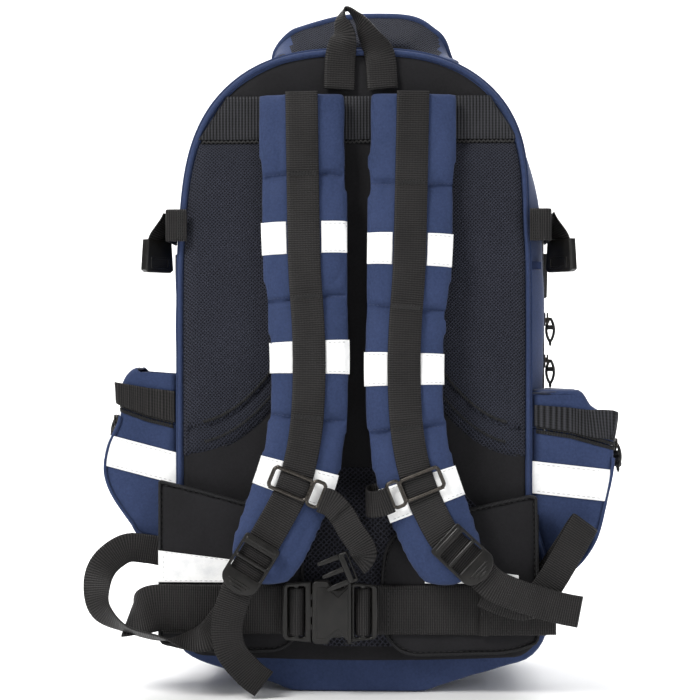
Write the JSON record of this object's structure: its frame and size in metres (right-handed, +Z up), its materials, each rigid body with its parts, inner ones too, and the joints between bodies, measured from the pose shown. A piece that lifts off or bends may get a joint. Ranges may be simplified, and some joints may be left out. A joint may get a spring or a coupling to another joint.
{
  "type": "trauma backpack",
  "caption": "Clamshell first-responder backpack with a padded mesh back, harness, sternum strap, buckled hip belt, side pockets and reflective tape.",
  "frame": {"origin": "on the underside of the rear shell, at the middle of its flat base", "axes": "+Z up, -Y towards the wearer's back, +X to the wearer's right as seen from behind the harness"},
  "size_m": [0.4162, 0.244, 0.5331],
  "materials": {
    "navy_fabric": "woven coated polyester",
    "black_fabric": "woven polyester",
    "black_mesh": "spacer mesh over foam",
    "webbing": "ribbed polyester webbing",
    "buckle_plastic": "moulded, satin",
    "dark_metal": "black nickel",
    "reflective_tape": "silver retroreflective",
    "sheet_plastic": "extruded sheet"
  },
  "bodies": {
    "root": {"rear_shell": "navy_fabric", "back_panel": "black_fabric", "yoke_webbing": "webbing", "back_pad_left": "black_mesh", "back_pad_right": "black_mesh", "lumbar_pad": "black_mesh", "back_piping": "navy_fabric", "frame_sheet": "sheet_plastic", "compartment_dividers": "black_fabric", "main_zip_rear": "webbing", "belt_wing_left": "black_fabric", "belt_wing_right": "black_fabric", "reflective_tapes": "reflective_tape", "belt_webbing": "webbing", "belt_buckle_socket": "buckle_plastic", "lower_strap_left": "webbing", "lower_strap_right": "webbing", "boot": "navy_fabric", "pocket_left": "navy_fabric", "pocket_right": "navy_fabric", "compression_anchors": "webbing", "top_handle": "navy_fabric"},
    "lid": {"front_shell": "navy_fabric", "front_pocket": "navy_fabric", "main_zip_front": "webbing", "compression_plugs": "buckle_plastic"},
    "front_slider": {"front_slider": "buckle_plastic"},
    "main_slider_upper": {"main_slider_upper": "buckle_plastic"},
    "main_slider_lower": {"main_slider_lower": "buckle_plastic"},
    "main_pull_upper": {"main_pull_upper": "buckle_plastic"},
    "main_pull_lower": {"main_pull_lower": "buckle_plastic"},
    "belt_plug": {"belt_buckle_plug": "buckle_plastic", "belt_tail": "webbing"},
    "prong_upper": {"plug_prong_upper": "buckle_plastic"},
    "prong_lower": {"plug_prong_lower": "buckle_plastic"},
    "pocket_lid_left": {"pocket_lid_left": "navy_fabric", "pocket_band_left": "webbing"},
    "pocket_lid_right": {"pocket_lid_right": "navy_fabric", "pocket_band_right": "webbing"},
    "pocket_slider_left": {"pocket_slider_left": "buckle_plastic"},
    "pocket_slider_right": {"pocket_slider_right": "buckle_plastic"},
    "socket_left": {"compression_socket_left": "buckle_plastic"},
    "socket_right": {"compression_socket_right": "buckle_plastic"},
    "haul_loop": {"haul_loop": "webbing"},
    "shoulder_left": {"strap_pad_left": "navy_fabric", "strap_webbing_left": "webbing", "strap_tapes_left": "reflective_tape", "strap_tail_left": "webbing"},
    "ladder_lock_left": {"ladder_lock_left": "buckle_plastic"},
    "sternum_left": {"sternum_ring_left": "dark_metal", "sternum_webbing_left": "webbing", "sternum_plug": "buckle_plastic"},
    "shoulder_right": {"strap_pad_right": "navy_fabric", "strap_webbing_right": "webbing", "strap_tapes_right": "reflective_tape", "strap_tail_right": "webbing"},
    "ladder_lock_right": {"ladder_lock_right": "buckle_plastic"},
    "sternum_right": {"sternum_ring_right": "dark_metal", "sternum_webbing_right": "webbing", "sternum_socket": "buckle_plastic"}
  },
  "joints": [
    {"name": "lid_fold", "type": "hinge", "parent": "root", "child": "lid", "pos_m": [0, 0.1303, 0.062], "axis": [-1, 0, 0], "range_deg": [0, 90]},
    {"name": "front_zip", "type": "slide", "parent": "lid", "child": "front_slider", "axis": [-1, 0, 0], "range_m": [0, 0.13]},
    {"name": "main_zip_upper", "type": "slide", "parent": "root", "child": "main_slider_upper", "axis": [0, 0, 1], "range_m": [0, 0.035]},
    {"name": "main_zip_lower", "type": "slide", "parent": "root", "child": "main_slider_lower", "axis": [0, 0, -1], "range_m": [0, 0.175]},
    {"name": "pull_upper", "type": "hinge", "parent": "main_slider_upper", "child": "main_pull_upper", "pos_m": [0.1556, 0.03, 0.292], "axis": [0, -1, 0], "range_deg": [0, 100]},
    {"name": "pull_lower", "type": "hinge", "parent": "main_slider_lower", "child": "main_pull_lower", "pos_m": [0.1556, 0.03, 0.258], "axis": [0, -1, 0], "range_deg": [0, 100]},
    {"name": "belt_buckle", "type": "slide", "parent": "root", "child": "belt_plug", "axis": [-1, 0, 0], "range_m": [0, 0.03]},
    {"name": "prong_upper_squeeze", "type": "hinge", "parent": "belt_plug", "child": "prong_upper", "pos_m": [-0.0334, -0.0585, 0.08], "axis": [0, 1, 0], "range_deg": [0, 8], "stiffness_Nm_per_rad": 0.6},
    {"name": "prong_lower_squeeze", "type": "hinge", "parent": "belt_plug", "child": "prong_lower", "pos_m": [-0.0334, -0.0585, 0.054], "axis": [0, 1, 0], "range_deg": [-8, 0], "stiffness_Nm_per_rad": 0.6},
    {"name": "pocket_lid_left_lift", "type": "hinge", "parent": "root", "child": "pocket_lid_left", "pos_m": [-0.1492, -0.004, 0.254], "axis": [0, 1, 0], "range_deg": [0, 90]},
    {"name": "pocket_lid_right_lift", "type": "hinge", "parent": "root", "child": "pocket_lid_right", "pos_m": [0.1492, -0.004, 0.236], "axis": [0, -1, 0], "range_deg": [0, 90]},
    {"name": "pocket_zip_left", "type": "slide", "parent": "root", "child": "pocket_slider_left", "axis": [0, 1, 0], "range_m": [0, 0.026]},
    {"name": "pocket_zip_right", "type": "slide", "parent": "root", "child": "pocket_slider_right", "axis": [0, 1, 0], "range_m": [0, 0.026]},
    {"name": "socket_left_swing", "type": "hinge", "parent": "root", "child": "socket_left", "pos_m": [-0.1503, -0.018, 0.374], "axis": [0, 1, 0], "range_deg": [0, 90]},
    {"name": "socket_right_swing", "type": "hinge", "parent": "root", "child": "socket_right", "pos_m": [0.1503, -0.018, 0.374], "axis": [0, -1, 0], "range_deg": [0, 90]},
    {"name": "haul_loop_tip", "type": "hinge", "parent": "root", "child": "haul_loop", "pos_m": [0, -0.0346, 0.47], "axis": [1, 0, 0], "range_deg": [0, 70]},
    {"name": "shoulder_left_lift", "type": "hinge", "parent": "root", "child": "shoulder_left", "pos_m": [0, -0.036, 0.465], "axis": [-1, 0, 0], "range_deg": [0, 25]},
    {"name": "ladder_lock_left_tilt", "type": "hinge", "parent": "shoulder_left", "child": "ladder_lock_left", "pos_m": [-0.06924, -0.07838, 0.12287], "axis": [-0.8572, 0.0413, 0.5134], "range_deg": [0, 30]},
    {"name": "sternum_left_slide", "type": "slide", "parent": "shoulder_left", "child": "sternum_left", "axis": [0.2419, 0.0778, 0.9672], "range_m": [0, 0.009]},
    {"name": "shoulder_right_lift", "type": "hinge", "parent": "root", "child": "shoulder_right", "pos_m": [0, -0.036, 0.465], "axis": [-1, 0, 0], "range_deg": [0, 25]},
    {"name": "ladder_lock_right_tilt", "type": "hinge", "parent": "shoulder_right", "child": "ladder_lock_right", "pos_m": [0.06557, -0.07805, 0.12688], "axis": [-0.682, -0.0587, -0.729], "range_deg": [0, 30]},
    {"name": "sternum_right_slide", "type": "slide", "parent": "shoulder_right", "child": "sternum_right", "axis": [-0.2419, 0.0778, 0.9672], "range_m": [0, 0.04]}
  ],
  "couplings": [
    {"joint": "prong_lower_squeeze", "follows": "prong_upper_squeeze", "ratio": -1}
  ]
}
